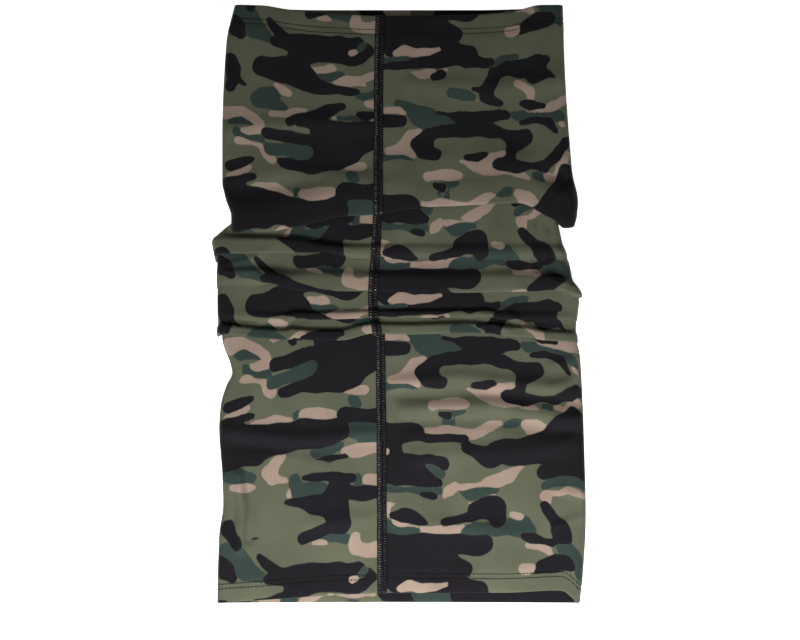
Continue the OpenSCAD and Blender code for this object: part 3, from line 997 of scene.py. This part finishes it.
def tone(graph, place, scale, *values):
    """An uneven tone: the values of graph.ramp over a noise."""
    return graph.ramp(graph.noise(place, scale), *values)


def print_colour(graph, blur):
    """The print, from the signed distances to its inks."""
    _, _, place = graph.cloth_place()
    bleed = graph.times(graph.math("SUBTRACT", graph.noise(place, BLEED_SCALE), 0.5), INK_BLEED)
    colour = OLIVE
    for ink in INKS:
        edge = graph.math("ADD", graph.attribute(ink), bleed)
        colour = graph.mix(graph.ramp(edge, blur, -blur), colour, INK_COLOURS[ink])
    return colour


def knit_height(graph):
    """The face of a plain jersey: ribs of slanted stitches."""
    u, v, _ = graph.cloth_place()
    rib = graph.math("ABSOLUTE", graph.math("SINE", graph.times(u, pi / WALE)))
    slanted = graph.math("ADD", graph.times(v, 2 * pi / COURSE), graph.times(rib, STITCH_SLANT))
    stitch = graph.math("ADD", graph.times(graph.math("SINE", slanted), STITCH_DEPTH), 1 - STITCH_DEPTH)
    return graph.times(rib, stitch)


def under_seam(graph, colour):
    """The cloth under the seam's stitches, with their shade and their dark thread painted on it as a
    darker band, where its pale core shows between two.
    """
    u, v, place = graph.cloth_place()
    off = graph.math("MINIMUM", u, graph.math("SUBTRACT", ROUND, u))
    # painted shade: the band under the seam is mixed towards black, for the stitches' shadow and their
    # dark thread
    thread_cover_and_shade = graph.times(graph.ramp(off, SEAM_BAND + BAND_FADE, SEAM_BAND), SEAM_SHADE)
    colour = graph.mix(thread_cover_and_shade, colour, INK_COLOURS["black"])
    turn = graph.math("SUBTRACT", graph.times(v, 2 * pi / SEAM_STITCH), TICK_TURN)
    between = graph.ramp(graph.math("COSINE", turn), TICK_LOW, TICK_HIGH)
    beside = graph.times(graph.ramp(off, TICK_IN, TICK_IN + BAND_FADE),
                         graph.ramp(off, TICK_OUT, TICK_OUT - BAND_FADE))
    inside = graph.times(graph.ramp(v, TICK_TOP, TICK_TOP + 1),
                         graph.ramp(v, CLOTH_L - TICK_BOTTOM, CLOTH_L - TICK_BOTTOM - 1))
    side = graph.ramp(u, SEAM_BAND, ROUND - SEAM_BAND, RIGHT_TICK, LEFT_TICK)
    tick = graph.times(between, tone(graph, place, *TICK_TONE), beside, inside, side)
    return graph.mix(tick, colour, SEAM_CORE)


def printed_jersey():
    graph = Graph("printed_jersey")
    _, _, place = graph.cloth_place()
    knit = knit_height(graph)
    # painted shade between the knit's ribs, and painted light on them
    rib_shade = graph.ramp(knit, 0, 1, *KNIT_SHADE)
    shade = graph.times(tone(graph, place, *BROAD_TONE), tone(graph, place, *FINE_TONE), rib_shade)
    colour = graph.shaded(print_colour(graph, PRINT_BLUR), shade)
    graph.bump(knit, KNIT_BUMP)
    return graph.finish(
        under_seam(graph, colour), Roughness=0.8, Specular_IOR_Level=0.1,
        Sheen_Weight=0.04, Sheen_Roughness=0.4)


def jersey_back():
    """The unprinted inside: pale, with the print showing through faintly."""
    graph = Graph("jersey_back")
    knit = knit_height(graph)
    through = graph.mix(SHOW_THROUGH, BACK_PALE, print_colour(graph, BACK_BLUR))
    # painted shade between the knit's ribs, and painted light on them, as on the printed face
    colour = graph.shaded(through, graph.ramp(knit, 0, 1, *BACK_KNIT_SHADE))
    graph.bump(knit, KNIT_BUMP)
    return graph.finish(
        colour, Roughness=0.85, Specular_IOR_Level=0.2, Sheen_Weight=0.2, Sheen_Roughness=0.5)


def sewing_thread():
    graph = Graph("sewing_thread")
    fibres = graph.noise(graph.node("TexCoord", {}, output="Object"), FIBRE_SCALE, detail=3.0)
    graph.bump(fibres, FIBRE_BUMP)
    return graph.finish(
        graph.mix(graph.ramp(fibres, 0.35, 0.7), THREAD_DARK, THREAD_LIGHT), Roughness=0.6,
        Specular_IOR_Level=0.12, Sheen_Weight=0.0)


def floor_material():
    graph = Graph("pale_floor")
    grain = graph.noise(graph.node("TexCoord", {}, output="Object"), GRAIN_SCALE)
    # painted glow: the floor gives off light of its own
    return graph.finish(
        graph.mix(grain, FLOOR_DARK, FLOOR_LIGHT), Roughness=0.9, Specular_IOR_Level=0.1,
        Emission_Color=WHITE, Emission_Strength=FLOOR_PAINTED_GLOW)


# ---- Camera, floor and light, in metres ----
CAMERA_HEIGHT = 1.8
CAMERA_Y = -0.0109         # the photo's middle is a little below the tube's
VIEW_WIDTH = 0.544         # width of what the camera sees, at the height of the cloth
SENSOR = 36.0              # width of the camera's sensor, in millimetres
CLOTH_SHARE = 1 / 3        # how high in the tube that is
FLOOR_SIZE = 8.0
# Softboxes: name, place, the point it is aimed at, side, power in watts, spread in degrees. The key is
# a box with a grid over it, aimed at the lower hem, so that the upper half of the tube is darker.
SOFTBOXES = [
    ("key", (0.0, -0.74, 0.62), (0.0, -0.35, 0.0), 0.5, 4.4, 75),
    ("left", (-1.4, 0.1, 1.0), (0.0, 0.0, 0.0), 1.2, 4, 180),
    ("right", (1.4, 0.1, 1.0), (0.0, 0.0, 0.0), 1.2, 2, 180)]
WORLD_LIGHT = 0.12


def add_camera():
    lens = bpy.data.cameras.new("camera")
    lens.sensor_width = SENSOR
    lens.lens = SENSOR * CAMERA_HEIGHT / VIEW_WIDTH
    camera = new_object("camera", lens)
    camera.location = (0, CAMERA_Y, CAMERA_HEIGHT + CAD_HIGH[2] * MM * CLOTH_SHARE)
    bpy.context.scene.camera = camera


def add_floor():
    side = FLOOR_SIZE / 2 / MM
    corners = np.array([(-side, -side, 0), (side, -side, 0), (side, side, 0), (-side, side, 0)])
    floor = new_object("floor", new_mesh("floor", corners, [(0, 1, 2, 3)]))
    floor.data.materials.append(floor_material())


def add_light():
    world = bpy.data.worlds.new("studio")
    world.use_nodes = True
    background = world.node_tree.nodes["Background"]
    background.inputs["Color"].default_value = WHITE
    background.inputs["Strength"].default_value = WORLD_LIGHT
    bpy.context.scene.world = world
    for name, place, aim, side, power, spread in SOFTBOXES:
        lamp = bpy.data.lights.new("softbox_" + name, "AREA")
        lamp.shape = "SQUARE"
        lamp.size = side
        lamp.energy = power
        lamp.spread = radians(spread)
        box = new_object("softbox_" + name, lamp)
        box.location = place
        box.rotation_euler = (Vector(aim) - box.location).to_track_quat("-Z", "Y").to_euler()
        box.visible_camera = False
    bpy.context.scene.view_settings.view_transform = "Standard"


# ---- The gaiter ----

add_camera()
cloth = Cloth()
tube = cloth_piece(cloth, printed_jersey(), jersey_back())
threads = all_threads(cloth, sewing_thread())

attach(tube, "root")
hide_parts("tube_panel", "top_hem", "bottom_hem")
for thread in threads:
    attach(thread, "root")

add_floor()
add_light()
